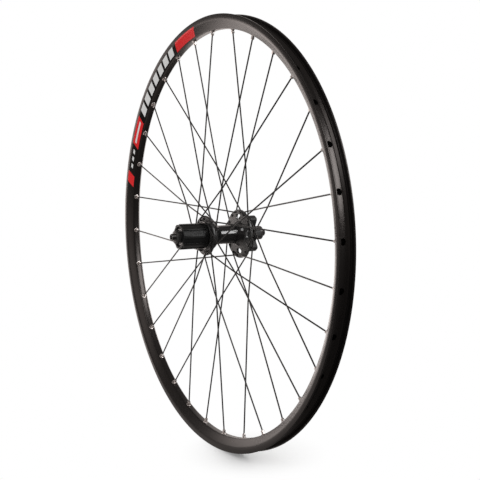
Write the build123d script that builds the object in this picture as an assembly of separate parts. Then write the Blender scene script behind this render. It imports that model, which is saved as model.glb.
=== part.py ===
from build123d import *
from math import cos, radians, sin
import os

# Rear bicycle wheel for a disc brake. The axle lies along Y with the drive side at -Y,
# X points forward and Z up. The origin is the middle of the wheel, on the axle.

# Rim: a hollow, double-walled hoop
rim_outer_radius = 298.0
rim_width = 23.0
rim_depth = 19.5
rim_wall = 1.4
bead_flange_height = 6.2
bead_flange_wall = 1.9
well_depth = 3.4
well_width = 8.4
side_wall_height = 7.5
spoke_bed_width = 8.8
access_hole_radius = 4.2
access_hole_sides = 6
spoke_hole_width = 5.2
valve_hole_radius = 4.25
eyelet_radius = 3.8
eyelet_sides = 8
eyelet_thickness = 0.7

# Spokes, their crossing pattern and their nipples
spoke_count = 32
crossings = 3
first_hole_angle = 3.39
valve_hole_number = 27.5
spoke_radius = 1.0
spoke_sides = 6
spoke_head_radius = 1.9
spoke_head_length = 1.2
elbow_standoff = 1.5
wire_clearance = 0.1
eyelet_clearance = 0.05
nipple_bore_clearance = 0.08
nipple_width = 3.6
nipple_reach = 6.5
nipple_head_radius = 3.0
nipple_head_length = 2.4
nipple_seat_gap = 0.6
thread_past_seat = 2.0

# Hub shell with its two spoke flanges
drive_flange_radius = 27.4
drive_hole_circle = 22.5
disc_flange_y = 33.5
disc_flange_radius = 34.0
disc_hole_inset = 3.5
flange_thickness = 3.2
flange_hole_radius = 1.4
lightening_hole_length = 12.0
lightening_hole_width = 7.2
lightening_hole_corner = 2.4
lightening_hole_count = 4
barrel_radius = 13.0
barrel_bore_radius = 9.5
housing_wall = 1.4
housing_floor = 2.0
drive_cone_length = 7.0
disc_cone_radius = 17.5
disc_cone_length = 6.0
shell_drive_overhang = 1.0

# Six-bolt seat for the brake disc
rotor_face_y = 52.2
rotor_lobe_count = 6
rotor_lobe_angle = 3.4
rotor_lobe_length = 10.0
rotor_lobe_radius = 27.0
rotor_lobe_width = 11.5
rotor_lobe_chamfer = 2.6
rotor_core_radius = 17.0
rotor_bolt_circle = 22.0
rotor_bolt_radius = 2.5
rotor_bolt_depth = 9.0

# Axle and the stack of pieces on it
axle_radius = 5.0
axle_stub_radius = 4.75
axle_stub_length = 5.5
skewer_bore_radius = 2.6
dropout_spacing = 135.0
sleeve_radius = 7.0
running_fit = 0.04
press_fit = 0.02
end_play = 0.1

# Sealed cartridge bearings
bearing_radius = 11.0
bearing_width = 6.0
disc_bearing_inset = 0.2
drive_bearing_inset = 5.0
freehub_bearing_inset = 2.0

# Cassette body, its pawls and the ratchet ring that they catch
spline_length = 35.0
stop_length = 2.4
spline_root_radius = 16.0
spline_crest_radius = 17.3
spline_width = 5.0
spline_count = 9
freehub_gap = 0.5
cap_gap = 1.1
freehub_recess_radius = 13.6
freehub_bore_radius = 9.5
carrier_radius = 14.6
carrier_end_gap = 0.4
pawl_count = 3
pawl_width = 6.0
pawl_length = 7.6
pawl_seat = 12.0
pawl_height = 2.4
pawl_clearance = 0.15
leaf_thickness = 0.4
leaf_length = 6.0
leaf_width = 4.0
ratchet_outer_radius = 18.2
ratchet_root_radius = 16.9
ratchet_tip_radius = 15.6
ratchet_teeth = 24
ratchet_width = 9.0

# End caps that the frame clamps
drive_cap_flats = 17.0
drive_cap_head = 5.0
disc_cap_radius = 9.6
disc_cap_flats = 17.0
disc_cap_head = 12.0
cap_neck_radius = 7.6

# Places that follow from the sizes above
half_width = rim_width / 2
bead_seat_radius = rim_outer_radius - bead_flange_height
well_radius = bead_seat_radius - well_depth
spoke_bed_radius = rim_outer_radius - rim_depth
seat_radius = spoke_bed_radius + rim_wall / 2
hole_pitch = 360 / spoke_count
flange_pitch = 2 * hole_pitch
cross_angle = crossings * flange_pitch
half_flange = flange_thickness / 2
cap_face_y = dropout_spacing / 2
half_axle = cap_face_y + axle_stub_length
freehub_end_y = -cap_face_y + drive_cap_head + cap_gap
stop_y = freehub_end_y + spline_length
freehub_y = stop_y + stop_length
shell_end_y = freehub_y + freehub_gap
drive_flange_y = shell_end_y + shell_drive_overhang + half_flange
disc_hole_circle = disc_flange_radius - disc_hole_inset
lightening_hole_circle = (rotor_core_radius + disc_hole_circle) / 2
ratchet_y = shell_end_y + freehub_gap
housing_floor_y = ratchet_y + ratchet_width
housing_radius = ratchet_outer_radius + press_fit + housing_wall
bearing_seat_radius = bearing_radius + press_fit
drive_bearing_end_y = housing_floor_y + drive_bearing_inset
drive_bearing_y = drive_bearing_end_y + bearing_width
disc_bearing_y = rotor_face_y - disc_bearing_inset - bearing_width
inner_bearing_y = freehub_y - freehub_bearing_inset - bearing_width
outer_bearing_y = freehub_end_y + freehub_bearing_inset
pawl_y = ratchet_y + (ratchet_width - pawl_width) / 2


def ring_point(radius, angle, y=0.0):
    return Vector(radius * cos(radians(angle)), y, radius * sin(radians(angle)))


def turned(*corners):
    # A solid of revolution about the axle, from (radius, y) corners.
    return revolve(make_face(Polyline(*corners, close=True)), Axis.Y)


def tube(inner_radius, outer_radius, y, length):
    return turned((inner_radius, y), (outer_radius, y), (outer_radius, y + length), (inner_radius, y + length))


def along_axle(outline, y, length):
    # An outline drawn with its X forward and its Y up, carried along the axle from y.
    end = Plane((0, y + length, 0), x_dir=(1, 0, 0), z_dir=(0, -1, 0))
    return extrude(end * outline, length)


def ringed(outline, count, radius, first_angle):
    # Copies of an outline on a circle round the axle, each turned to face outwards.
    places = [Rot(0, 0, first_angle + 360 / count * step) * Pos(radius, 0) for step in range(count)]
    return Sketch() + [place * outline for place in places]


def mirrored(corners):
    return corners + [(radius, -y) for radius, y in reversed(corners)]


def radial_prism(outline, angle, inner_radius, outer_radius):
    foot = Plane(ring_point(inner_radius, angle), x_dir=(0, 1, 0), z_dir=ring_point(1, angle))
    return extrude(foot * outline, outer_radius - inner_radius)


def rim():
    tip_half = half_width - bead_flange_wall
    box_half = [(spoke_bed_radius, spoke_bed_width / 2), (rim_outer_radius - side_wall_height, half_width)]
    flange = [(rim_outer_radius, half_width), (rim_outer_radius, tip_half), (bead_seat_radius, tip_half)]
    well = [(well_radius, well_width / 2)]
    hoop = turned(*mirrored(box_half + flange + well))
    box = make_face(Polyline(*mirrored(box_half + well), close=True))
    chamber = revolve(offset(box, -rim_wall, kind=Kind.INTERSECTION), Axis.Y)
    below = spoke_bed_radius - rim_wall
    middle = (well_radius + spoke_bed_radius) / 2
    access = RegularPolygon(access_hole_radius, access_hole_sides)
    drilled = Rectangle(spoke_hole_width, spoke_hole_width)
    cuts = [radial_prism(Circle(valve_hole_radius), rim_hole_angle(valve_hole_number), below, rim_outer_radius)]
    for number in range(spoke_count):
        cuts.append(radial_prism(access, rim_hole_angle(number), middle, rim_outer_radius))
        cuts.append(radial_prism(drilled, rim_hole_angle(number), below, middle))
    return hoop - chamber - cuts


def eyelet(number):
    # A lipped ring under the spoke bed, round one spoke hole.
    ring = RegularPolygon(eyelet_radius, eyelet_sides) - Rectangle(spoke_hole_width, spoke_hole_width)
    lip_radius = spoke_bed_radius - eyelet_clearance
    return radial_prism(ring, rim_hole_angle(number), lip_radius - eyelet_thickness, lip_radius)


def rim_hole_angle(number):
    return first_hole_angle + hole_pitch * number


def elbow_lift(lean):
    # Leading spokes leave the outer face of their flange, trailing spokes its inner face.
    lift = half_flange + spoke_radius + wire_clearance
    return lift + elbow_standoff if lean > 0 else -lift


def spoke_route(number):
    # Even rim holes are laced to the drive flange and odd ones to the disc flange. Pairs of
    # spokes lean forwards and back by turns, and interlace where they cross for the last time.
    drive_side = number % 2 == 0
    lean = 1 if number % 4 < 2 else -1
    side = -1 if drive_side else 1
    flange_y = drive_flange_y if drive_side else disc_flange_y
    circle = drive_hole_circle if drive_side else disc_hole_circle
    hole = ring_point(circle, rim_hole_angle(number) + lean * cross_angle, flange_y)
    head = hole - Vector(0, side * lean * (half_flange + wire_clearance), 0)
    elbow = hole + Vector(0, side * elbow_lift(lean), 0)
    seat = ring_point(seat_radius, rim_hole_angle(number))
    meeting = ring_point(1, rim_hole_angle(number) + lean * flange_pitch / 2)
    from_hub = elbow.X * meeting.Z - elbow.Z * meeting.X
    from_rim = seat.Z * meeting.X - seat.X * meeting.Z
    share = from_hub / (from_hub + from_rim)
    straight = elbow + (seat - elbow) * share
    middle_y = (flange_y + side * (elbow_lift(1) + elbow_lift(-1)) / 2) * (1 - share)
    crossing = Vector(straight.X, middle_y - side * lean * (spoke_radius + wire_clearance), straight.Z)
    return head, elbow, crossing, seat


def spoke(number):
    head, elbow, crossing, seat = spoke_route(number)
    shank = elbow - head
    pull = (seat - crossing).normalized()
    start = Plane(head, x_dir=shank.cross(crossing - elbow), z_dir=shank)
    path = Polyline(head, elbow, crossing, seat + pull * thread_past_seat)
    wire = sweep(start * RegularPolygon(spoke_radius, spoke_sides), path, transition=Transition.RIGHT)
    return wire + extrude(start * RegularPolygon(spoke_head_radius, spoke_sides), -spoke_head_length)


def nipple(number):
    head, elbow, crossing, seat = spoke_route(number)
    pull = (seat - crossing).normalized()
    shank = elbow - head
    across = shank.cross(crossing - elbow)
    shank_length = nipple_reach + rim_wall / 2 + nipple_seat_gap
    foot = Plane(seat - pull * nipple_reach, x_dir=across, z_dir=pull)
    neck = foot.offset(shank_length)
    body = extrude(foot * Rectangle(nipple_width, nipple_width), shank_length)
    body += extrude(neck * RegularPolygon(nipple_head_radius, spoke_sides), nipple_head_length)
    bore = RegularPolygon(spoke_radius + nipple_bore_clearance, spoke_sides)
    return body - extrude(foot * bore, nipple_reach + thread_past_seat + nipple_bore_clearance)


def hub_shell():
    drive_in = drive_flange_y + half_flange
    drive_out = drive_flange_y - half_flange
    disc_in = disc_flange_y - half_flange
    disc_out = disc_flange_y + half_flange
    ratchet_seat = ratchet_outer_radius + press_fit
    cone_y = housing_floor_y + housing_floor
    shell = turned(
        (ratchet_seat, shell_end_y),
        (housing_radius, shell_end_y),
        (housing_radius, drive_out),
        (drive_flange_radius, drive_out),
        (drive_flange_radius, drive_in),
        (housing_radius, drive_in),
        (housing_radius, cone_y),
        (barrel_radius, cone_y + drive_cone_length),
        (barrel_radius, disc_in - disc_cone_length),
        (disc_cone_radius, disc_in),
        (disc_flange_radius, disc_in),
        (disc_flange_radius, disc_out),
        (rotor_core_radius, disc_out),
        (rotor_core_radius, rotor_face_y),
        (bearing_seat_radius, rotor_face_y),
        (bearing_seat_radius, disc_bearing_y),
        (barrel_bore_radius, disc_bearing_y),
        (barrel_bore_radius, drive_bearing_y),
        (bearing_seat_radius, drive_bearing_y),
        (bearing_seat_radius, housing_floor_y),
        (ratchet_seat, housing_floor_y),
    )
    return shell + rotor_lobes() - flange_holes()


def rotor_lobes():
    reach = rotor_lobe_radius - bearing_seat_radius
    lobe = Rectangle(reach, rotor_lobe_width)
    lobe = chamfer(lobe.vertices().group_by(Axis.X)[-1], rotor_lobe_chamfer)
    star = ringed(lobe, rotor_lobe_count, rotor_lobe_radius - reach / 2, rotor_lobe_angle)
    bolts = ringed(Circle(rotor_bolt_radius), rotor_lobe_count, rotor_bolt_circle, rotor_lobe_angle)
    lobes = along_axle(star, rotor_face_y - rotor_lobe_length, rotor_lobe_length)
    return lobes - along_axle(bolts, rotor_face_y - rotor_bolt_depth, rotor_bolt_depth)


def flange_holes():
    hole = RegularPolygon(flange_hole_radius, spoke_sides)
    per_flange = spoke_count // 2
    drive = ringed(hole, per_flange, drive_hole_circle, rim_hole_angle(0))
    disc = ringed(hole, per_flange, disc_hole_circle, rim_hole_angle(1))
    lightening = Rectangle(lightening_hole_width, lightening_hole_length)
    lightening = chamfer(lightening.vertices(), lightening_hole_corner)
    disc += ringed(lightening, lightening_hole_count, lightening_hole_circle, first_hole_angle)
    return [
        along_axle(drive, drive_flange_y - half_flange, flange_thickness),
        along_axle(disc, disc_flange_y - half_flange, flange_thickness),
    ]


def ratchet_ring():
    teeth = []
    for tooth in range(ratchet_teeth):
        angle = 360 / ratchet_teeth * tooth
        for radius in (ratchet_tip_radius, ratchet_root_radius):
            teeth.append((radius * cos(radians(angle)), radius * sin(radians(angle))))
    outline = Circle(ratchet_outer_radius) - make_face(Polyline(*teeth, close=True))
    return along_axle(outline, ratchet_y, ratchet_width)


def bearing(y):
    return tube(axle_radius + running_fit, bearing_radius, y, bearing_width)


def freehub_body():
    ridge_reach = spline_crest_radius - freehub_recess_radius
    ridge = Rectangle(ridge_reach, spline_width)
    outline = Circle(spline_root_radius)
    outline += ringed(ridge, spline_count, spline_crest_radius - ridge_reach / 2, first_hole_angle)
    splines = along_axle(outline, freehub_end_y, spline_length)
    splines += tube(0, spline_crest_radius, stop_y, stop_length)
    carrier_end = housing_floor_y - carrier_end_gap
    carrier = tube(bearing_seat_radius, carrier_radius, freehub_y, carrier_end - freehub_y)
    bores = [
        tube(0, freehub_recess_radius, freehub_end_y, freehub_bearing_inset),
        tube(0, bearing_seat_radius, outer_bearing_y, bearing_width),
        tube(0, freehub_bore_radius, outer_bearing_y, inner_bearing_y - outer_bearing_y),
        tube(0, bearing_seat_radius, inner_bearing_y, freehub_y - inner_bearing_y),
    ]
    pocket_floor = pawl_seat - leaf_thickness
    pocket = Rectangle(carrier_radius - pocket_floor, pawl_length + 2 * pawl_clearance)
    pockets = ringed(pocket, pawl_count, (carrier_radius + pocket_floor) / 2, first_hole_angle)
    pocket_width = pawl_width + 2 * pawl_clearance
    return splines - bores + carrier - along_axle(pockets, pawl_y - pawl_clearance, pocket_width)


def pawls():
    # Small hardened catches, shown pressed down as they are while the wheel coasts.
    catch = Rectangle(pawl_height, pawl_length)
    return along_axle(ringed(catch, pawl_count, pawl_seat + pawl_height / 2, first_hole_angle), pawl_y, pawl_width)


def pawl_springs():
    # Leaf springs on the floors of the pawl pockets.
    leaf = Rectangle(leaf_thickness, leaf_length)
    leaves = ringed(leaf, pawl_count, pawl_seat - leaf_thickness / 2, first_hole_angle)
    return along_axle(leaves, pawl_y + (pawl_width - leaf_width) / 2, leaf_width)


def axle():
    shoulder_y = drive_bearing_y + end_play
    shoulder = tube(skewer_bore_radius, sleeve_radius, shoulder_y, disc_bearing_y - end_play - shoulder_y)
    shaft = tube(skewer_bore_radius, axle_radius, -cap_face_y, dropout_spacing)
    stubs = tube(skewer_bore_radius, axle_stub_radius, -half_axle, 2 * half_axle)
    return shaft + stubs + shoulder


def sleeve(y_from, y_to):
    # A spacer between two bearings, with a little end play at each face.
    return tube(axle_radius + press_fit, sleeve_radius, y_from + end_play, y_to - y_from - 2 * end_play)


def drive_end_cap():
    head = RegularPolygon(drive_cap_flats / 2, 6, major_radius=False) - Circle(axle_radius + press_fit)
    neck_y = -cap_face_y + drive_cap_head
    neck = tube(axle_radius + press_fit, cap_neck_radius, neck_y, outer_bearing_y - end_play - neck_y)
    return along_axle(head, -cap_face_y, drive_cap_head) + neck


def disc_end_cap():
    head = Circle(disc_cap_radius) & Rectangle(disc_cap_flats, 2 * disc_cap_radius)
    head -= Circle(axle_radius + press_fit)
    neck_y = disc_bearing_y + bearing_width + end_play
    head_y = cap_face_y - disc_cap_head
    neck = tube(axle_radius + press_fit, cap_neck_radius, neck_y, head_y - neck_y)
    return along_axle(head, head_y, disc_cap_head) + neck


nodes = {
    "rim": rim(),
    "eyelets": Compound(children=[eyelet(number) for number in range(spoke_count)]),
    "spoke_nipples": Compound(children=[nipple(number) for number in range(spoke_count)]),
    "hub_shell": hub_shell(),
    "hub_bearings": Compound(children=[bearing(drive_bearing_end_y), bearing(disc_bearing_y)]),
    "ratchet_ring": ratchet_ring(),
    "freehub_body": freehub_body(),
    "freehub_bearings": Compound(children=[bearing(outer_bearing_y), bearing(inner_bearing_y)]),
    "pawls": pawls(),
    "pawl_springs": pawl_springs(),
    "axle": axle(),
    "freehub_sleeve": sleeve(outer_bearing_y + bearing_width, inner_bearing_y),
    "drive_sleeve": sleeve(inner_bearing_y + bearing_width, drive_bearing_end_y),
    "drive_end_cap": drive_end_cap(),
    "disc_end_cap": disc_end_cap(),
}
for number in range(spoke_count):
    nodes[f"spoke_{number + 1:02d}"] = spoke(number)

os.makedirs("parts", exist_ok=True)
for name, shape in nodes.items():
    export_step(shape, f"parts/{name}.step")
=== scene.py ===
import bmesh
import bpy
from math import cos, pi, radians, sin, tan
from mathutils import Matrix, Vector


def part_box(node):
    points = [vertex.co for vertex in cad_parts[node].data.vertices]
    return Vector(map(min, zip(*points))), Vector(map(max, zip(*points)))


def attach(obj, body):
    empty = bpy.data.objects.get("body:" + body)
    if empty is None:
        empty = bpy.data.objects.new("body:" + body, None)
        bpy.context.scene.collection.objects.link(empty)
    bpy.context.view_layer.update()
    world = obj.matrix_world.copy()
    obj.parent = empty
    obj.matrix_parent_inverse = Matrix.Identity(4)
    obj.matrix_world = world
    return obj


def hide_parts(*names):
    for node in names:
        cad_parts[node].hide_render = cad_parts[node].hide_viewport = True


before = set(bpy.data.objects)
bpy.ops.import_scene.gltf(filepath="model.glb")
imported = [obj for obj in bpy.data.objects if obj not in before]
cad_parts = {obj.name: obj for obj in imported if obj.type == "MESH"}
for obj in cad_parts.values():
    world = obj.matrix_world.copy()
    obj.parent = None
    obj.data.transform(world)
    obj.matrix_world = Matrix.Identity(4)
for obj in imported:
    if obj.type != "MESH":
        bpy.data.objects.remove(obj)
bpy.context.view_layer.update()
print("frame loaded with", len(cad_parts), "nodes")

# Pieces are modelled in millimetres and scaled to metres when they are finished.
mm = 0.001
weldDistance = 0.0005
origin = Vector((0, 0, 0))
axleLine = Vector((0, 1, 0))


def ringPoint(radius, angle, y=0.0):
    return Vector((radius * cos(radians(angle)), y, radius * sin(radians(angle))))


def placeAlong(point, direction, across):
    # a frame at a point with Z along a direction and X as near to across as it can be
    z = direction.normalized()
    x = (across - z * across.dot(z)).normalized()
    place = Matrix((x, z.cross(x), z)).transposed().to_4x4()
    place.translation = point
    return place


axleFrame = placeAlong(origin, axleLine, Vector((1, 0, 0)))


def lathe(outline, steps, place=axleFrame, roundSteps=4):
    # turns closed (radius, height, corner round) corners about the Z of a place
    bm = bmesh.new()
    corners = [bm.verts.new((corner[0], 0, corner[1])) for corner in outline]
    for start, end in zip(corners, corners[1:] + corners[:1]):
        bm.edges.new((start, end))
    for cut in sorted({corner[2] for corner in outline if len(corner) > 2}):
        picked = [v for v, corner in zip(corners, outline) if len(corner) > 2 and corner[2] == cut]
        bmesh.ops.bevel(bm, geom=picked, offset=cut, offset_type="OFFSET", affect="VERTICES",
                        segments=roundSteps, profile=0.5, material=-1)
    bmesh.ops.spin(bm, geom=bm.verts[:] + bm.edges[:], cent=origin, axis=(0, 0, 1), dvec=origin,
                   angle=2 * pi, steps=steps, use_merge=True)
    bmesh.ops.remove_doubles(bm, verts=bm.verts, dist=weldDistance)
    bmesh.ops.recalc_face_normals(bm, faces=bm.faces)
    bmesh.ops.transform(bm, matrix=place, verts=bm.verts)
    return bm


def block(size, place, roundEdges=0.0):
    # a box of a size about the origin of a place, with its edges rounded where asked for
    bm = bmesh.new()
    bmesh.ops.create_cube(bm, size=1)
    bmesh.ops.scale(bm, vec=size, verts=bm.verts)
    if roundEdges:
        bmesh.ops.bevel(bm, geom=bm.edges[:], offset=roundEdges, offset_type="OFFSET", affect="EDGES",
                        segments=2, profile=0.5, material=-1)
    bmesh.ops.transform(bm, matrix=place, verts=bm.verts)
    return bm


def upright(size, corner, steps, outerOnly=False):
    # a box with its edges along Z rounded, or only those on its +X side
    bm = block(size, Matrix())
    picked = []
    for edge in bm.edges:
        low, high = (vert.co for vert in edge.verts)
        if abs(low.z - high.z) > weldDistance and (low.x > 0 or not outerOnly):
            picked.append(edge)
    bmesh.ops.bevel(bm, geom=picked, offset=corner, offset_type="OFFSET", affect="EDGES", segments=steps,
                    profile=0.5, material=-1)
    return bm


def drill(radius, low, high, steps):
    # a plain round cutter from low to high on the local Z
    return lathe([(0, low), (radius, low), (radius, high), (0, high)], steps, Matrix())


def stamp(template, places):
    # one mesh with a copy of the template at each place
    source = bpy.data.meshes.new("stamp")
    template.to_mesh(source)
    out = bmesh.new()
    for place in places:
        start = len(out.verts)
        out.from_mesh(source)
        out.verts.ensure_lookup_table()
        bmesh.ops.transform(out, matrix=place, verts=out.verts[start:])
    bpy.data.meshes.remove(source)
    template.free()
    return out


def gather(*parts):
    # several closed shapes in one mesh
    out = bmesh.new()
    for part in parts:
        source = bpy.data.meshes.new("gather")
        part.to_mesh(source)
        out.from_mesh(source)
        bpy.data.meshes.remove(source)
        part.free()
    return out


def carve(bm, tool, operation="DIFFERENCE"):
    # cuts a tool from a shape, joins it on or keeps what both share
    made = []
    for shape in (bm, tool):
        mesh = bpy.data.meshes.new("carve")
        shape.to_mesh(mesh)
        shape.free()
        made.append(bpy.data.objects.new("carve", mesh))
        bpy.context.scene.collection.objects.link(made[-1])
    cut = made[0].modifiers.new("carve", "BOOLEAN")
    cut.operation = operation
    cut.object = made[1]
    cut.solver = "EXACT"
    graph = bpy.context.evaluated_depsgraph_get()
    out = bmesh.new()
    out.from_object(made[0], graph)
    for shape in made:
        mesh = shape.data
        bpy.data.objects.remove(shape)
        bpy.data.meshes.remove(mesh)
    return out


def finishPiece(bm, name, body, slot, material, *nodes, sharpAngle=35):
    # scales a shape to metres, shades it and says what it rides, replaces and wears
    bmesh.ops.scale(bm, vec=(mm, mm, mm), verts=bm.verts)
    mesh = bpy.data.meshes.new(name)
    bm.to_mesh(mesh)
    bm.free()
    mesh.polygons.foreach_set("use_smooth", [True] * len(mesh.polygons))
    mesh.set_sharp_from_angle(angle=radians(sharpAngle))
    mesh.materials.clear()
    mesh.materials.append(material)
    piece = bpy.data.objects.new(name, mesh)
    bpy.context.scene.collection.objects.link(piece)
    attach(piece, body)
    if nodes:
        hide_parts(*nodes)


# Shader helpers

def addNode(tree, kind, inputs=None, **settings):
    node = tree.nodes.new("ShaderNode" + kind)
    for name, value in settings.items():
        setattr(node, name, value)
    for key, value in (inputs or {}).items():
        if isinstance(value, bpy.types.NodeSocket):
            tree.links.new(value, node.inputs[key])
        else:
            node.inputs[key].default_value = value
    return node


def calc(tree, operation, *values):
    return addNode(tree, "Math", dict(enumerate(values)), operation=operation).outputs[0]


def times(tree, first, second):
    return calc(tree, "MULTIPLY", first, second)


def within(tree, value, low, high):
    # 1 where a value lies between two limits
    return times(tree, calc(tree, "GREATER_THAN", value, low), calc(tree, "LESS_THAN", value, high))


def blend(tree, share, first, last):
    # a number between two others
    return addNode(tree, "Mix", {0: share, 2: first, 3: last}, data_type="FLOAT").outputs[0]


def blendColour(tree, share, first, last):
    # a colour between two others
    return addNode(tree, "Mix", {0: share, 6: first, 7: last}, data_type="RGBA").outputs[2]


def ramp(tree, value, low, high, first=0.0, last=1.0):
    # a soft step from first to last as a value goes from low to high
    return addNode(tree, "MapRange", {0: value, 1: low, 2: high, 3: first, 4: last},
                   interpolation_type="SMOOTHSTEP").outputs[0]


def dot(tree, vector, axis):
    return addNode(tree, "VectorMath", {0: vector, 1: axis}, operation="DOT_PRODUCT").outputs["Value"]


def distance(tree, vector, place):
    return addNode(tree, "VectorMath", {0: vector, 1: place}, operation="DISTANCE").outputs["Value"]


def objectSpot(tree):
    return addNode(tree, "TexCoord").outputs["Object"]


def axisParts(tree):
    # Object coordinates as x, y, z and the distance from the axle
    parts = addNode(tree, "SeparateXYZ", {"Vector": objectSpot(tree)}).outputs
    flat = addNode(tree, "CombineXYZ", {"X": parts["X"], "Z": parts["Z"]}).outputs[0]
    reach = addNode(tree, "VectorMath", {0: flat}, operation="LENGTH").outputs["Value"]
    return {"x": parts["X"], "y": parts["Y"], "z": parts["Z"], "reach": reach}


def feeding(shader, name):
    # the socket that drives an input of a shader
    return shader.inputs[name].links[0].from_socket


def newGroup(name, inputs, outputs):
    group = bpy.data.node_groups.new(name, "ShaderNodeTree")
    for label, value in inputs.items():
        kind = "NodeSocketColor" if isinstance(value, tuple) else "NodeSocketFloat"
        group.interface.new_socket(label, in_out="INPUT", socket_type=kind).default_value = value
    for label, kind in outputs.items():
        group.interface.new_socket(label, in_out="OUTPUT", socket_type="NodeSocket" + kind)
    return group, group.nodes.new("NodeGroupInput").outputs, group.nodes.new("NodeGroupOutput").inputs


def buildGrain():
    # fine dyed-oxide grain with slow clouds in its colour and gloss
    inputs = {"Colour": (0.03, 0.03, 0.03, 1), "Shade": 0.12, "Rough": 0.35, "Spread": 0.06, "Scale": 900.0}
    outputs = {"Colour": "Color", "Rough": "Float", "Height": "Float"}
    cloudScale = 26.0
    group, given, put = newGroup("surfaceGrain", inputs, outputs)
    spot = objectSpot(group)
    cloud = addNode(group, "TexNoise", {"Vector": spot, "Scale": cloudScale, "Detail": 4.0}).outputs[0]
    fine = addNode(group, "TexNoise", {"Vector": spot, "Scale": given["Scale"], "Detail": 3.0}).outputs[0]
    swing = times(group, calc(group, "SUBTRACT", cloud, 0.5), 2.0)
    lift = calc(group, "MULTIPLY_ADD", swing, given["Shade"], 1.0)
    tint = addNode(group, "VectorMath", {0: given["Colour"], "Scale": lift}, operation="SCALE").outputs[0]
    group.links.new(tint, put["Colour"])
    group.links.new(calc(group, "MULTIPLY_ADD", swing, given["Spread"], given["Rough"]), put["Rough"])
    group.links.new(fine, put["Height"])
    return group


def buildLatheLines():
    # faint rings left by turning, about the axle
    driftScale = 60.0
    group, given, put = newGroup("latheLines", {"Pitch": 2200.0, "Wander": 3.0}, {"Height": "Float"})
    at = axisParts(group)
    run = calc(group, "ADD", at["reach"], at["y"])
    drift = addNode(group, "TexNoise", {"Vector": objectSpot(group), "Scale": driftScale}).outputs[0]
    phase = calc(group, "MULTIPLY_ADD", run, given["Pitch"], times(group, drift, given["Wander"]))
    group.links.new(calc(group, "SINE", phase), put["Height"])
    return group


grainGroup = buildGrain()
latheGroup = buildLatheLines()
reliefDepth = 0.0004


def newFinish(name, colour, rough, shade=0.12, spread=0.05, scale=900.0, bump=0.05, lines=0.0, **constants):
    # a Principled finish with grain, and turning lines where asked for
    material = bpy.data.materials.new(name)
    material.use_nodes = True
    tree = material.node_tree
    shader = tree.nodes["Principled BSDF"]
    for key, value in constants.items():
        shader.inputs[key].default_value = value
    inputs = {"Colour": (*colour, 1), "Shade": shade, "Rough": rough, "Spread": spread, "Scale": scale}
    grain = addNode(tree, "Group", node_tree=grainGroup)
    for key, value in inputs.items():
        grain.inputs[key].default_value = value
    tree.links.new(grain.outputs["Colour"], shader.inputs["Base Color"])
    tree.links.new(grain.outputs["Rough"], shader.inputs["Roughness"])
    height = grain.outputs["Height"]
    if lines:
        turned = addNode(tree, "Group", node_tree=latheGroup)
        height = calc(tree, "MULTIPLY_ADD", turned.outputs["Height"], lines, height)
    relief = addNode(tree, "Bump", {"Strength": bump, "Distance": reliefDepth, "Height": height})
    tree.links.new(relief.outputs["Normal"], shader.inputs["Normal"])
    return material


def rimFinish():
    # black anodised rim with a plain red and white print on the drive-side wall
    design = {
        "wallSlope": 0.5, "wallLimit": 0.1353, "inner": 0.2806, "outer": 0.2918,
        "slant": 160.0, "middle": 0.2862,
        "red": (0.86, 0.02, 0.024, 1), "white": (0.88, 0.88, 0.87, 1),
        "redFields": ((101.0, 113.0), (145.5, 155.0), (164.5, 168.0)),
        "bars": (
            {"low": 115.0, "high": 144.0, "pitch": 4.2, "duty": 0.72, "half": 0.0046},
            {"low": 146.5, "high": 154.0, "pitch": 20.0, "duty": 1.0, "half": 0.0012},
            {"low": 156.5, "high": 163.0, "pitch": 2.4, "duty": 0.55, "half": 0.0014},
        ),
    }
    material = newFinish("rimAnodised", (0.0066, 0.0058, 0.0055), 0.28, shade=0.06, spread=0.03,
                         scale=1400.0, bump=0.003, **{"IOR": 1.46, "Specular Tint": (1.0, 0.9, 0.86, 1)})
    tree = material.node_tree
    shader = tree.nodes["Principled BSDF"]
    at = axisParts(tree)
    turn = calc(tree, "DEGREES", calc(tree, "ARCTAN2", at["z"], at["x"]))
    lift = calc(tree, "SUBTRACT", at["reach"], design["middle"])
    run = calc(tree, "MULTIPLY_ADD", lift, design["slant"], turn)
    depth = calc(tree, "MULTIPLY_ADD", at["reach"], design["wallSlope"], at["y"])
    wall = times(tree, within(tree, at["reach"], design["inner"], design["outer"]),
                 calc(tree, "LESS_THAN", depth, design["wallLimit"]))
    red = 0.0
    for low, high in design["redFields"]:
        red = calc(tree, "ADD", within(tree, run, low, high), red)
    white = 0.0
    for bar in design["bars"]:
        pace = calc(tree, "DIVIDE", calc(tree, "SUBTRACT", run, bar["low"]), bar["pitch"])
        inked = calc(tree, "LESS_THAN", calc(tree, "FRACT", pace), bar["duty"])
        inked = times(tree, inked, within(tree, run, bar["low"], bar["high"]))
        white = calc(tree, "MULTIPLY_ADD", inked, within(tree, lift, -bar["half"], bar["half"]), white)
    colour = feeding(shader, "Base Color")
    for mask, ink in ((red, design["red"]), (white, design["white"])):
        colour = blendColour(tree, times(tree, mask, wall), colour, ink)
    tree.links.new(colour, shader.inputs["Base Color"])
    return material


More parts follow.
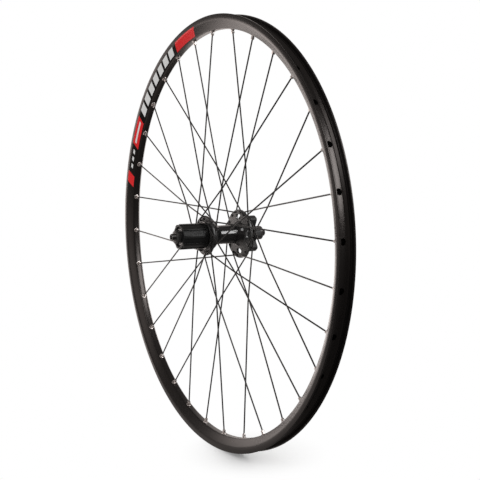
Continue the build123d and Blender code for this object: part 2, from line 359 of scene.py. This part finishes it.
def hubFinish():
    # glossy black barrel between satin, slightly greyer flanges, unevenly worn in random patches; the
    # drive-side flange takes less grey, a painted shade that keeps it darker
    flange = {
        "from": 0.0176, "to": 0.0353, "colour": (0.048, 0.047, 0.045, 1), "rough": 0.36, "seatRough": 0.6,
        "middle": 0.02, "driveShadeShare": 0.3, "patches": 260.0, "patchFrom": 0.38, "patchTo": 0.6,
        "patchLow": 0.35,
    }
    material = newFinish("hubBlack", (0.008, 0.008, 0.008), 0.10, spread=0.02, lines=0.3, bump=0.015, IOR=1.6)
    tree = material.node_tree
    shader = tree.nodes["Principled BSDF"]
    at = axisParts(tree)
    outer = calc(tree, "GREATER_THAN", at["reach"], flange["from"])
    satin = times(tree, outer, calc(tree, "LESS_THAN", at["y"], flange["to"]))
    # the drive-side flange gets only part of the grey: painted shade on that side
    share = blend(tree, calc(tree, "GREATER_THAN", at["y"], flange["middle"]), flange["driveShadeShare"], 1.0)
    cloud = addNode(tree, "TexNoise", {"Vector": objectSpot(tree), "Scale": flange["patches"], "Detail": 2.0})
    patch = addNode(tree, "MapRange", {0: cloud.outputs[0], 1: flange["patchFrom"], 2: flange["patchTo"],
                                       3: flange["patchLow"], 4: 1.0}).outputs[0]
    greyPatchesAndShade = times(tree, times(tree, satin, share), patch)
    colour = blendColour(tree, greyPatchesAndShade, feeding(shader, "Base Color"), flange["colour"])
    dull = blend(tree, satin, flange["seatRough"], flange["rough"])
    rough = blend(tree, outer, feeding(shader, "Roughness"), dull)
    tree.links.new(colour, shader.inputs["Base Color"])
    tree.links.new(rough, shader.inputs["Roughness"])
    return material


def bearingFinish():
    # ground steel races with a dark rubber seal between them
    seal = {"inner": 0.0066, "outer": 0.0096, "rubber": (0.02, 0.02, 0.021, 1)}
    material = newFinish("bearingFaces", (0.3, 0.295, 0.29), 0.3, lines=0.6, bump=0.08)
    tree = material.node_tree
    shader = tree.nodes["Principled BSDF"]
    mask = within(tree, axisParts(tree)["reach"], seal["inner"], seal["outer"])
    colour = blendColour(tree, mask, feeding(shader, "Base Color"), seal["rubber"])
    tree.links.new(colour, shader.inputs["Base Color"])
    tree.links.new(calc(tree, "SUBTRACT", 1.0, mask), shader.inputs["Metallic"])
    return material


rimAnodised = rimFinish()
spokeBlack = newFinish("spokeBlack", (0.012, 0.011, 0.0105), 0.30, scale=1600.0, bump=0.03)
nickelPlate = newFinish("nickelPlate", (0.62, 0.58, 0.56), 0.30, scale=1600.0, bump=0.04, Metallic=1.0)
hubBlack = hubFinish()
cassetteSatin = newFinish("cassetteSatin", (0.007, 0.007, 0.007), 0.40, lines=0.4, bump=0.05, IOR=1.4)
capAnodised = newFinish("capAnodised", (0.03, 0.028, 0.027), 0.32, lines=0.5, bump=0.05)
axleSteel = newFinish("axleSteel", (0.09, 0.087, 0.085), 0.34, lines=0.4, bump=0.05, Metallic=1.0)
bearingFaces = bearingFinish()
ratchetSteel = newFinish("ratchetSteel", (0.36, 0.35, 0.34), 0.35, lines=0.5, bump=0.06, Metallic=1.0)
sleeveTurned = newFinish("sleeveTurned", (0.7, 0.7, 0.7), 0.3, lines=0.8, bump=0.08, Metallic=1.0)
print("finishes made")

# Spoke lacing

lacing = {
    "count": 32, "firstAngle": 3.39, "crossings": 3, "seatRadius": 279.2, "wireRadius": 1.0,
    "clearance": 0.1, "standoff": 1.5, "halfFlange": 1.6, "driveY": -20.9, "driveCircle": 22.5,
    "discY": 33.5, "discCircle": 30.5, "pastSeat": 2.0, "bendRadius": 2.3, "bendSteps": 8, "wireSides": 14,
    "head": [(0, -1.35), (1.15, -1.25, 0.3), (1.9, -0.55, 0.25), (1.75, -0.1, 0.1), (1.1, 0.25), (0, 0.25)],
    "headSteps": 24,
}
holePitch = 360 / lacing["count"]


def holeAngle(number):
    return lacing["firstAngle"] + holePitch * number


def elbowLift(lean):
    # leading spokes leave the outer face of their flange, trailing spokes its inner face
    lift = lacing["halfFlange"] + lacing["wireRadius"] + lacing["clearance"]
    return lift + lacing["standoff"] if lean > 0 else -lift


def spokeRoute(number):
    # head, elbow, outermost crossing and rim seat of a spoke
    drive = number % 2 == 0
    lean = 1 if number % 4 < 2 else -1
    side = -1 if drive else 1
    flangeY = lacing["driveY"] if drive else lacing["discY"]
    circle = lacing["driveCircle"] if drive else lacing["discCircle"]
    hole = ringPoint(circle, holeAngle(number) + lean * lacing["crossings"] * 2 * holePitch, flangeY)
    head = hole - axleLine * side * lean * (lacing["halfFlange"] + lacing["clearance"])
    elbow = hole + axleLine * side * elbowLift(lean)
    seat = ringPoint(lacing["seatRadius"], holeAngle(number))
    meeting = ringPoint(1, holeAngle(number) + lean * holePitch)
    fromHub = elbow.x * meeting.z - elbow.z * meeting.x
    fromRim = seat.z * meeting.x - seat.x * meeting.z
    share = fromHub / (fromHub + fromRim)
    crossing = elbow.lerp(seat, share)
    middle = (flangeY + side * (elbowLift(1) + elbowLift(-1)) / 2) * (1 - share)
    crossing.y = middle - side * lean * (lacing["wireRadius"] + lacing["clearance"])
    return head, elbow, crossing, seat


def stretch(bm, ring, shift):
    # extrudes a ring of edges by a shift and gives the new ring
    made = bmesh.ops.extrude_edge_only(bm, edges=ring)["geom"]
    moved = {part for part in made if isinstance(part, bmesh.types.BMVert)}
    bmesh.ops.translate(bm, verts=list(moved), vec=shift)
    return [part for part in made if isinstance(part, bmesh.types.BMEdge) and set(part.verts) <= moved]


def spokeWire(number):
    head, elbow, crossing, seat = spokeRoute(number)
    out = (elbow - head).normalized()
    away = (crossing - elbow).normalized()
    pull = (seat - crossing).normalized()
    turn = out.angle(away)
    cut = lacing["bendRadius"] * tan(turn / 2)
    axis = out.cross(away).normalized()
    inward = axis.cross(out)
    place = placeAlong(head, out, inward)
    bm = bmesh.new()
    bmesh.ops.create_circle(bm, segments=lacing["wireSides"], radius=lacing["wireRadius"], matrix=place)
    first = bm.edges[:]
    ring = stretch(bm, first, elbow - head - out * cut)
    centre = elbow - out * cut + inward * lacing["bendRadius"]
    corner = {vert for edge in ring for vert in edge.verts}
    last = bmesh.ops.spin(bm, geom=list(corner) + ring, cent=centre, axis=axis, dvec=origin, angle=turn,
                          steps=lacing["bendSteps"])["geom_last"]
    ring = [part for part in last if isinstance(part, bmesh.types.BMEdge)]
    ring = stretch(bm, ring, crossing - elbow - away * cut)
    ring = stretch(bm, ring, seat + pull * lacing["pastSeat"] - crossing)
    bmesh.ops.edgeloop_fill(bm, edges=first)
    bmesh.ops.edgeloop_fill(bm, edges=ring)
    bmesh.ops.recalc_face_normals(bm, faces=bm.faces)
    return gather(bm, lathe(lacing["head"], lacing["headSteps"], place))


for number in range(lacing["count"]):
    finishPiece(spokeWire(number), f"spokeWire_{number + 1:02d}", "wheel", "spoke_black", spokeBlack,
                f"spoke_{number + 1:02d}")
print("spokes laced")

# Nipples

nippleSizes = {
    "flat": 3.4, "foot": -6.5, "edge": 0.45, "collar": -2.0, "collarRadius": 1.95, "overlap": 0.6,
    "headRadius": 3.0, "seat": 1.4, "seatFall": 0.6, "seatRise": 0.3, "top": 3.7, "domeDrop": 1.2,
    "domeRadius": 1.9, "steps": 24, "slot": (0.9, 8, 2), "slotLift": 0.2,
}


def spokeLines():
    # the frame of each nipple: its seat, its pull and the line across it
    for number in range(lacing["count"]):
        crossing, seat = spokeRoute(number)[2:]
        yield placeAlong(seat, (seat - crossing).normalized(), axleLine)


def buildNipples():
    s = nippleSizes
    shankLength = s["collar"] - s["foot"] + s["overlap"]
    middle = Matrix.Translation((0, 0, s["foot"] + shankLength / 2))
    shank = block((s["flat"], s["flat"], shankLength), middle, s["edge"])
    head = lathe([
        (0, s["collar"]), (s["collarRadius"], s["collar"], 0.25),
        (s["collarRadius"], s["seat"] - s["seatFall"]), (s["headRadius"], s["seat"] + s["seatRise"], 0.3),
        (s["headRadius"], s["top"] - s["domeDrop"], 0.5), (s["domeRadius"], s["top"], 0.5), (0, s["top"]),
    ], s["steps"], Matrix(), 2)
    slot = block(s["slot"], Matrix.Translation((0, 0, s["top"] + s["slotLift"])))
    nipple = carve(carve(head, shank, "UNION"), slot)
    return stamp(nipple, spokeLines())


finishPiece(buildNipples(), "nippleSet", "wheel", "nipple_silver", nickelPlate, "spoke_nipples")
print("nipples set")

# Rim

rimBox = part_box("rim")
rimSizes = {
    "outer": rimBox[1].z / mm, "half": rimBox[1].y / mm, "bed": 278.5, "bedHalf": 4.4, "foot": 290.5,
    "tipWall": 1.9, "hookTop": 1.7, "hookDepth": 0.7, "hookFoot": 3.0, "seat": 291.6, "shelf": 2.4,
    "humpDrop": 0.9, "hump": 3.2, "well": 288.4, "wellHalf": 4.4, "wall": 1.4, "chamberFoot": 1.0,
    "chamberDrop": 2.3, "chamberSide": 3.1, "chamberTop": 0.4, "steps": 288, "accessRadius": 4.1,
    "spokeHole": 2.75, "valveRadius": 4.25, "valveNumber": 27.5, "holeStart": 3, "holeSteps": 40,
}


def mirrored(corners):
    return corners + [(corner[0], -corner[1], *corner[2:]) for corner in reversed(corners)]


def radialPlace(number):
    return placeAlong(origin, ringPoint(1, holeAngle(number)), axleLine)


def buildRim():
    s = rimSizes
    lip = s["half"] - s["tipWall"]
    hoop = lathe(mirrored([
        (s["bed"], s["bedHalf"], 1.6), (s["foot"], s["half"], 2.5), (s["outer"], s["half"], 0.7),
        (s["outer"], lip, 0.6), (s["outer"] - s["hookTop"], lip - s["hookDepth"], 0.4),
        (s["outer"] - s["hookFoot"], lip, 0.4), (s["seat"], lip, 0.5), (s["seat"], lip - s["shelf"], 0.3),
        (s["seat"] - s["humpDrop"], lip - s["hump"], 0.3), (s["well"], s["wellHalf"], 0.9),
    ]), s["steps"])
    chamber = lathe(mirrored([
        (s["bed"] + s["wall"], s["bedHalf"] - s["chamberFoot"], 1.0),
        (s["foot"] - s["chamberDrop"], s["half"] - s["chamberSide"], 0.6),
        (s["well"] - s["wall"], s["wellHalf"] - s["chamberTop"], 0.9),
    ]), s["steps"])
    middle = (s["bed"] + s["well"]) / 2
    start = s["bed"] - s["holeStart"]
    every = [radialPlace(number) for number in range(lacing["count"])]
    access = stamp(drill(s["accessRadius"], middle, s["outer"], s["holeSteps"]), every)
    spokeHoles = stamp(drill(s["spokeHole"], start, middle, s["holeSteps"]), every)
    valve = stamp(drill(s["valveRadius"], start, s["outer"], s["holeSteps"]), [radialPlace(s["valveNumber"])])
    return carve(carve(hoop, chamber), gather(access, spokeHoles, valve))


finishPiece(buildRim(), "rimHoop", "wheel", "rim_black", rimAnodised, "rim")

eyeletSizes = {
    "outline": [(2.15, -0.35), (2.5, -0.75, 0.2), (3.3, -0.7, 0.25), (3.75, -0.1, 0.15), (3.75, -0.02),
                (2.7, -0.02), (2.7, 1.7), (2.15, 1.7)],
    "steps": 28,
}


def buildEyelets():
    bed = Matrix.Translation((0, 0, rimSizes["bed"]))
    ring = lathe(eyeletSizes["outline"], eyeletSizes["steps"], bed, 2)
    return stamp(ring, [radialPlace(number) for number in range(lacing["count"])])


finishPiece(buildEyelets(), "eyeletRings", "wheel", "nipple_silver", nickelPlate, "eyelets")
print("rim and eyelets made")

# Hub shell

hubSizes = {
    "end": -23.5, "driveRadius": 27.4, "discRadius": 34.0, "housing": 19.6, "flare": 0.6, "barrel": 13.0,
    "bore": 9.5, "bearingSeat": 11.02, "ratchetSeat": 18.22, "floor": -14.0, "coneY": -12.0,
    "coneLength": 7.0, "discCone": 17.5, "discConeLength": 6.0, "core": 17.0, "face": 52.2,
    "driveBearing": -3.0, "discBearing": 46.0, "steps": 128,
    "holeRadius": 1.25, "holeReach": 3, "holeSteps": 20,
    "slot": (7.2, 12.0, 6.0), "slotCorner": 3.3, "lighteningCircle": 23.75, "lighteningCount": 4,
    "lobes": 6, "lobeAngle": 3.4, "lobeReach": 27.0, "lobeRoot": 15.0, "lobeWidth": 11.5, "lobeLength": 10.0,
    "lobeCorner": 3.4, "cornerSteps": 6,
    "boltCircle": 22.0, "boltRadius": 2.5, "boltDepth": 9.0, "boltOver": 1, "boltSteps": 28,
}


def axlePlaces(count, circle, firstAngle, y):
    # frames along the axle, spaced evenly on a circle
    angles = [firstAngle + 360 / count * step for step in range(count)]
    return [placeAlong(ringPoint(circle, angle, y), axleLine, ringPoint(1, angle)) for angle in angles]


def flangeHoles(circle, first, y):
    s = hubSizes
    hole = drill(s["holeRadius"], -s["holeReach"], s["holeReach"], s["holeSteps"])
    return stamp(hole, axlePlaces(lacing["count"] // 2, circle, holeAngle(first), y))


def buildHub():
    s = hubSizes
    half = lacing["halfFlange"]
    driveIn, driveOut = lacing["driveY"] + half, lacing["driveY"] - half
    discIn, discOut = lacing["discY"] - half, lacing["discY"] + half
    shell = lathe([
        (s["ratchetSeat"], s["end"], 0.25), (s["housing"], s["end"], 0.35), (s["housing"], driveOut, 0.5),
        (s["driveRadius"], driveOut, 0.9), (s["driveRadius"], driveIn, 0.9),
        (s["housing"] + s["flare"], driveIn, 1.2), (s["housing"], s["coneY"], 2.0),
        (s["barrel"], s["coneY"] + s["coneLength"], 3.0), (s["barrel"], discIn - s["discConeLength"], 3.0),
        (s["discCone"], discIn, 1.6), (s["discRadius"], discIn, 0.9), (s["discRadius"], discOut, 0.9),
        (s["core"], discOut, 0.8), (s["core"], s["face"], 0.4), (s["bearingSeat"], s["face"], 0.25),
        (s["bearingSeat"], s["discBearing"]), (s["bore"], s["discBearing"]), (s["bore"], s["driveBearing"]),
        (s["bearingSeat"], s["driveBearing"]), (s["bearingSeat"], s["floor"]), (s["ratchetSeat"], s["floor"]),
    ], s["steps"])
    lobeSize = (s["lobeReach"] - s["lobeRoot"], s["lobeWidth"], s["lobeLength"])
    lobe = upright(lobeSize, s["lobeCorner"], s["cornerSteps"], True)
    lobes = stamp(lobe, axlePlaces(s["lobes"], (s["lobeReach"] + s["lobeRoot"]) / 2, s["lobeAngle"],
                                   s["face"] - s["lobeLength"] / 2))
    holes = gather(
        flangeHoles(lacing["driveCircle"], 0, lacing["driveY"]),
        flangeHoles(lacing["discCircle"], 1, lacing["discY"]),
        stamp(upright(s["slot"], s["slotCorner"], s["cornerSteps"]),
              axlePlaces(s["lighteningCount"], s["lighteningCircle"], holeAngle(0), lacing["discY"])),
        stamp(drill(s["boltRadius"], -s["boltDepth"], s["boltOver"], s["boltSteps"]),
              axlePlaces(s["lobes"], s["boltCircle"], s["lobeAngle"], s["face"])),
    )
    return carve(carve(shell, lobes, "UNION"), holes)


finishPiece(buildHub(), "hubBody", "wheel", "hub_black", hubBlack, "hub_shell")
print("hub shell turned")

# Bearings

bearingSizes = {
    "bore": 5.04, "inner": 6.6, "outer": 9.6, "radius": 11.0, "width": 6.0, "sink": 0.3, "steps": 72,
    "hubPlaces": (-9.0, 46.0), "cassettePlaces": (-59.4, -32.0),
}


def bearingPair(places):
    s = bearingSizes
    rings = []
    for near in places:
        far = near + s["width"]
        deep = near + (s["width"] - s["sink"])
        rings.append(lathe([
            (s["bore"], near, 0.2), (s["inner"], near, 0.1), (s["inner"], near + s["sink"]),
            (s["outer"], near + s["sink"]), (s["outer"], near, 0.1), (s["radius"], near, 0.3),
            (s["radius"], far, 0.3), (s["outer"], far, 0.1), (s["outer"], deep), (s["inner"], deep),
            (s["inner"], far, 0.1), (s["bore"], far, 0.2),
        ], s["steps"], roundSteps=2))
    return gather(*rings)


finishPiece(bearingPair(bearingSizes["hubPlaces"]), "hubBearingSet", "wheel", "bearing_steel", bearingFaces,
            "hub_bearings")
finishPiece(bearingPair(bearingSizes["cassettePlaces"]), "cassetteBearingSet", "freehub", "bearing_steel",
            bearingFaces, "freehub_bearings")

# Cassette body

cassetteSizes = {
    "start": -24.0, "end": -61.4, "root": 16.0, "crest": 17.3, "splineWidth": 5.0, "splines": 9,
    "splineFoot": 0.8, "splineEdge": 0.35, "splineStart": 0.3, "splineOverlap": 0.4,
    "recess": 13.6, "recessDepth": 2.0, "bore": 9.5, "bearingSeat": 11.02, "outerBearing": -59.4,
    "innerBearing": -32.0, "bearingWidth": 6.0, "carrier": 14.6, "carrierEnd": -14.4, "stopLength": 2.4,
    "steps": 96, "pocketFloor": 11.6, "pocketLength": 7.9, "pocketWidth": 6.3, "pocketY": -18.5,
    "pocketOver": 1, "pawls": 3,
}


def buildCassetteBody():
    s = cassetteSizes
    stop = s["start"] - s["stopLength"]
    bearingEnd = s["outerBearing"] + s["bearingWidth"]
    recessEnd = s["end"] + s["recessDepth"]
    body = lathe([
        (s["recess"], s["end"], 0.3), (s["root"], s["end"], 0.5), (s["root"], stop, 0.2),
        (s["crest"], stop, 0.3), (s["crest"], s["start"], 0.4), (s["carrier"], s["start"], 0.2),
        (s["carrier"], s["carrierEnd"], 0.3), (s["bearingSeat"], s["carrierEnd"], 0.2),
        (s["bearingSeat"], s["innerBearing"]), (s["bore"], s["innerBearing"]), (s["bore"], bearingEnd),
        (s["bearingSeat"], bearingEnd), (s["bearingSeat"], recessEnd, 0.2), (s["recess"], recessEnd),
    ], s["steps"], roundSteps=3)
    length = stop + s["splineOverlap"] - s["end"] - s["splineStart"]
    low = s["recess"] + s["splineFoot"]
    ridge = block((s["crest"] - low, s["splineWidth"], length), Matrix(), s["splineEdge"])
    middleY = s["end"] + s["splineStart"] + length / 2
    ridges = stamp(ridge, axlePlaces(s["splines"], (s["crest"] + low) / 2, lacing["firstAngle"], middleY))
    deep = s["carrier"] + s["pocketOver"] - s["pocketFloor"]
    pocket = block((deep, s["pocketLength"], s["pocketWidth"]), Matrix())
    pockets = stamp(pocket, axlePlaces(s["pawls"], s["pocketFloor"] + deep / 2, lacing["firstAngle"],
                                       s["pocketY"]))
    return carve(carve(body, ridges, "UNION"), pockets)


finishPiece(buildCassetteBody(), "cassetteBody", "freehub", "freehub_black", cassetteSatin, "freehub_body")
print("cassette body made")

# Axle and end caps

axleSizes = {
    "radius": 5.0, "stub": 4.75, "bore": 2.6, "boreEdge": 0.3, "half": 73.0, "face": 67.5, "shoulder": 7.0,
    "shoulderFrom": -2.9, "shoulderTo": 45.9, "pitch": 1.0, "threadStart": 0.4, "threadDepth": 0.35,
    "crestShare": 0.45, "tipLength": 0.6, "tipDrop": 0.5, "steps": 64,
}


def buildAxle():
    s = axleSizes
    thread = []
    for step in range(int((s["half"] - s["face"]) / s["pitch"])):
        y = s["face"] + s["threadStart"] + step * s["pitch"]
        thread += [(s["stub"], y), (s["stub"] - s["threadDepth"], y + s["pitch"] * s["crestShare"])]
    thread += [(s["stub"], s["half"] - s["tipLength"]), (s["stub"] - s["tipDrop"], s["half"])]
    mouth = s["bore"] + s["boreEdge"]
    outline = [(mouth, s["half"]), (s["bore"], s["half"] - s["boreEdge"]),
               (s["bore"], s["boreEdge"] - s["half"]), (mouth, -s["half"])]
    outline += [(radius, -y) for radius, y in reversed(thread)]
    outline += [(s["radius"], -s["face"]), (s["radius"], s["shoulderFrom"]),
                (s["shoulder"], s["shoulderFrom"]), (s["shoulder"], s["shoulderTo"]),
                (s["radius"], s["shoulderTo"]), (s["radius"], s["face"])]
    return lathe(outline + thread, s["steps"])


finishPiece(buildAxle(), "axleShaft", "axle", "axle_steel", axleSteel, "axle", sharpAngle=25)

capSizes = {
    "bore": 5.02, "boreEdge": 0.4, "boreEnd": -50, "flats": 17.0, "driveHead": 5.0, "neck": 7.6,
    "neckOverlap": 0.5, "driveNeckTo": -59.5, "trimInset": 0.2, "trimRise": 1.1, "trimClear": 0.4,
    "margin": 1, "discRadius": 9.6, "discHead": 12.0, "discNeckFrom": 52.1, "chamfer": 0.9,
    "flatBlock": (10, 8, 30), "flatDrop": 3, "steps": 96, "neckSteps": 64,
}


def buildDriveCap():
    s = capSizes
    face = -axleSizes["face"]
    before, after = face - s["margin"], face + s["driveHead"] + s["margin"]
    corner = s["flats"] / 2 / cos(radians(30))
    hexagon = bmesh.new()
    bmesh.ops.create_cone(hexagon, cap_ends=True, segments=6, radius1=corner, radius2=corner,
                          depth=s["driveHead"],
                          matrix=axleFrame @ Matrix.Translation((0, 0, face + s["driveHead"] / 2)))
    inner, outer = s["flats"] / 2 - s["trimInset"], corner + s["trimClear"]
    trim = lathe([(0, before), (inner, before), (inner, face), (outer, face + s["trimRise"]), (outer, after),
                  (0, after)], s["steps"])
    start, end = face + s["driveHead"] - s["neckOverlap"], s["driveNeckTo"]
    neck = lathe([(0, start), (s["neck"], start), (s["neck"], end, 0.3), (0, end)], s["neckSteps"])
    mouth = s["bore"] + s["boreEdge"]
    bore = lathe([(0, before), (mouth, before), (mouth, face), (s["bore"], face + s["boreEdge"]),
                  (s["bore"], s["boreEnd"]), (0, s["boreEnd"])], s["neckSteps"])
    return carve(carve(carve(hexagon, trim, "INTERSECT"), neck, "UNION"), bore)


def buildDiscCap():
    s = capSizes
    face = axleSizes["face"]
    foot = face - s["discHead"]
    cap = lathe([
        (s["bore"], s["discNeckFrom"], 0.2), (s["neck"], s["discNeckFrom"], 0.3), (s["neck"], foot, 0.2),
        (s["discRadius"], foot, 0.6), (s["discRadius"], face, s["chamfer"]), (s["bore"], face, 0.35),
    ], s["steps"])
    flats = []
    for side in (-1, 1):
        place = Matrix.Translation((side * (s["flats"] + s["flatBlock"][0]) / 2, face - s["flatDrop"], 0))
        flats.append(block(s["flatBlock"], place))
    return carve(cap, gather(*flats))


finishPiece(buildDriveCap(), "driveCap", "axle", "cap_black", capAnodised, "drive_end_cap")
finishPiece(buildDiscCap(), "discCap", "axle", "cap_black", capAnodised, "disc_end_cap")
print("axle and caps made")

# Inner pieces keep their solids and take a turned or hardened finish.
innerFinishes = {
    "ratchet_ring": ratchetSteel, "pawls": ratchetSteel, "pawl_springs": ratchetSteel,
    "freehub_sleeve": sleeveTurned, "drive_sleeve": sleeveTurned,
}
for node, finish in innerFinishes.items():
    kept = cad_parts[node].data.materials
    kept.clear()
    kept.append(finish)

# Studio: pale floor, soft lamps and the camera

studio = {
    "floorZ": -0.298, "floorSize": 6.0, "floorColour": (0.93, 0.925, 0.92, 1), "floorLift": 0.05,
    "fadeSpot": (0.055, 0.025, -0.298), "fade": (0.0, 0.11), "farLevel": 0.5, "fill": 0.55,
    "stripAcross": (-0.349, 0.937, 0.0), "stripAlong": (-0.937, -0.349, 0.0),
    "stripLeft": (-0.3, 0.2), "stripRight": (2.4, 1.0), "stripStart": (0.3, 0.7), "stripLevel": 1.9,
    "poolSpot": (-0.25, -0.17, -0.298), "pool": (0.5, 0.2), "poolLevel": 0.5,
    "nearLevel": 0.07, "distantLevel": 1.5, "distance": (1.9, 6.0), "front": (-1.5, -0.3),
    "sweepAxis": (-0.871, 0.481, -0.1), "sweep": (0.5, 0.86), "roomLevel": 0.20,
    "white": (1, 1, 1, 1), "warm": (1.0, 0.91, 0.87, 1),
    "lamps": {
        "keyLamp": ((1.65, 1.085, 1.1), (0.9, 1.4), 26.0, (1.0, 1.0, 1.0), (0, 0, 0)),
        "frontLamp": ((1.0, -1.5, 1.3), (1.0, 1.0), 9.0, (1.0, 1.0, 1.0), (0, 0, 0)),
        "warmLamp": ((-1.9, -0.62, 0.14), (0.8, 0.7), 1.7, (1.0, 0.9, 0.86), (0, 0, -0.1)),
        "sideLamp": ((-0.62, -2.13, 0.3), (1.0, 0.8), 2.6, (1.0, 0.93, 0.9), (-0.25, 0, 0)),
    },
}


def mirrorRay(tree, path):
    # 1 for glossy and transmission rays
    return calc(tree, "MAXIMUM", path["Is Glossy Ray"], path["Is Transmission Ray"])


def rayTint(tree, mirror):
    # a little warmth in what the wheel reflects
    return blendColour(tree, mirror, studio["white"], studio["warm"])


def rayLevel(tree, path, mirror, plain, reflected):
    # white to the camera, one level in reflections and a plain one for other light
    return blend(tree, path["Is Camera Ray"], blend(tree, mirror, plain, reflected), 1.0)


def floorReflection(tree, spot, away):
    # what the wheel mirrors: a bright strip and a pool behind it, and a far floor that grows lighter
    across = dot(tree, spot, studio["stripAcross"])
    along = dot(tree, spot, studio["stripAlong"])
    band = times(tree, ramp(tree, across, *studio["stripLeft"]), ramp(tree, across, *studio["stripRight"]))
    strip = times(tree, band, ramp(tree, along, *studio["stripStart"]))
    pool = ramp(tree, distance(tree, spot, studio["poolSpot"]), *studio["pool"])
    rear = times(tree, ramp(tree, away, *studio["distance"]), ramp(tree, along, *studio["front"]))
    distant = calc(tree, "MULTIPLY_ADD", rear, studio["distantLevel"], studio["nearLevel"])
    lit = calc(tree, "MULTIPLY_ADD", pool, studio["poolLevel"], distant)
    return calc(tree, "MULTIPLY_ADD", strip, studio["stripLevel"], lit)


def floorPaper():
    # paper that takes a shadow near the wheel and fades to plain white around it
    material = bpy.data.materials.new("studioFloor")
    material.use_nodes = True
    tree = material.node_tree
    tree.nodes.clear()
    path = addNode(tree, "LightPath").outputs
    mirror = mirrorRay(tree, path)
    spot = objectSpot(tree)
    away = distance(tree, spot, studio["fadeSpot"])
    far = ramp(tree, away, *studio["fade"])
    paper = addNode(tree, "BsdfDiffuse", {"Color": studio["floorColour"]})
    lift = addNode(tree, "Emission", {"Strength": times(tree, path["Is Camera Ray"], studio["floorLift"])})
    near = addNode(tree, "AddShader", {0: paper.outputs[0], 1: lift.outputs[0]})
    level = rayLevel(tree, path, mirror, studio["farLevel"], floorReflection(tree, spot, away))
    white = addNode(tree, "Emission", {"Color": rayTint(tree, mirror), "Strength": level})
    mixed = addNode(tree, "MixShader", {0: calc(tree, "MAXIMUM", far, mirror), 1: near.outputs[0],
                                        2: white.outputs[0]})
    out = addNode(tree, "OutputMaterial")
    tree.links.new(mixed.outputs[0], out.inputs["Surface"])
    return material


def buildFloor():
    bm = bmesh.new()
    bmesh.ops.create_grid(bm, x_segments=1, y_segments=1, size=studio["floorSize"],
                          matrix=Matrix.Translation((0, 0, studio["floorZ"])))
    mesh = bpy.data.meshes.new("studioFloor")
    bm.to_mesh(mesh)
    bm.free()
    mesh.materials.append(floorPaper())
    floor = bpy.data.objects.new("studioFloor", mesh)
    bpy.context.scene.collection.objects.link(floor)


def buildWorld():
    # white to look at, a bright sweep behind the wheel in reflections and a plain fill elsewhere
    world = bpy.data.worlds.new("studio")
    bpy.context.scene.world = world
    world.use_nodes = True
    tree = world.node_tree
    path = addNode(tree, "LightPath").outputs
    mirror = mirrorRay(tree, path)
    toward = addNode(tree, "TexCoord").outputs["Generated"]
    sweep = ramp(tree, dot(tree, toward, studio["sweepAxis"]), *studio["sweep"], studio["roomLevel"])
    shell = tree.nodes["Background"]
    tree.links.new(rayTint(tree, mirror), shell.inputs["Color"])
    tree.links.new(rayLevel(tree, path, mirror, studio["fill"], sweep), shell.inputs["Strength"])


def softLamp(name, place, size, power, colour, aim):
    data = bpy.data.lights.new(name, "AREA")
    data.shape = "ELLIPSE"
    data.size, data.size_y = size
    data.energy = power
    data.color = colour
    lamp = bpy.data.objects.new(name, data)
    lamp.location = place
    lamp.rotation_euler = (Vector(aim) - Vector(place)).to_track_quat("-Z", "Y").to_euler()
    bpy.context.scene.collection.objects.link(lamp)


view = {
    "azimuth": 61.065, "elevation": 5.72, "distance": 1.3076, "focalPixels": 945.06, "imagePixels": 480,
    "wheelPixel": (218.56, 234.77), "sensor": 36.0, "clip": (0.01, 50),
}


def setCamera():
    a, e = radians(view["azimuth"]), radians(view["elevation"])
    back = Vector((sin(a) * cos(e), -cos(a) * cos(e), sin(e)))
    right = Vector((cos(a), sin(a), 0))
    facing = Matrix((right, back.cross(right), back)).transposed()
    middle = view["imagePixels"] / 2
    wheelX, wheelY = view["wheelPixel"]
    toWheel = Vector((wheelX - middle, middle - wheelY, -view["focalPixels"]))
    aim = Vector((0, 0, -1)).rotation_difference(toWheel)
    data = bpy.data.cameras.new("photoCamera")
    data.sensor_width = view["sensor"]
    data.lens = view["focalPixels"] / view["imagePixels"] * view["sensor"]
    data.clip_start, data.clip_end = view["clip"]
    camera = bpy.data.objects.new("photoCamera", data)
    camera.location = back * view["distance"]
    camera.rotation_euler = (facing @ aim.inverted().to_matrix()).to_euler()
    bpy.context.scene.collection.objects.link(camera)
    bpy.context.scene.camera = camera


buildFloor()
buildWorld()
for name, settings in studio["lamps"].items():
    softLamp(name, *settings)
setCamera()
bpy.context.scene.view_settings.view_transform = "Standard"
print("studio set")
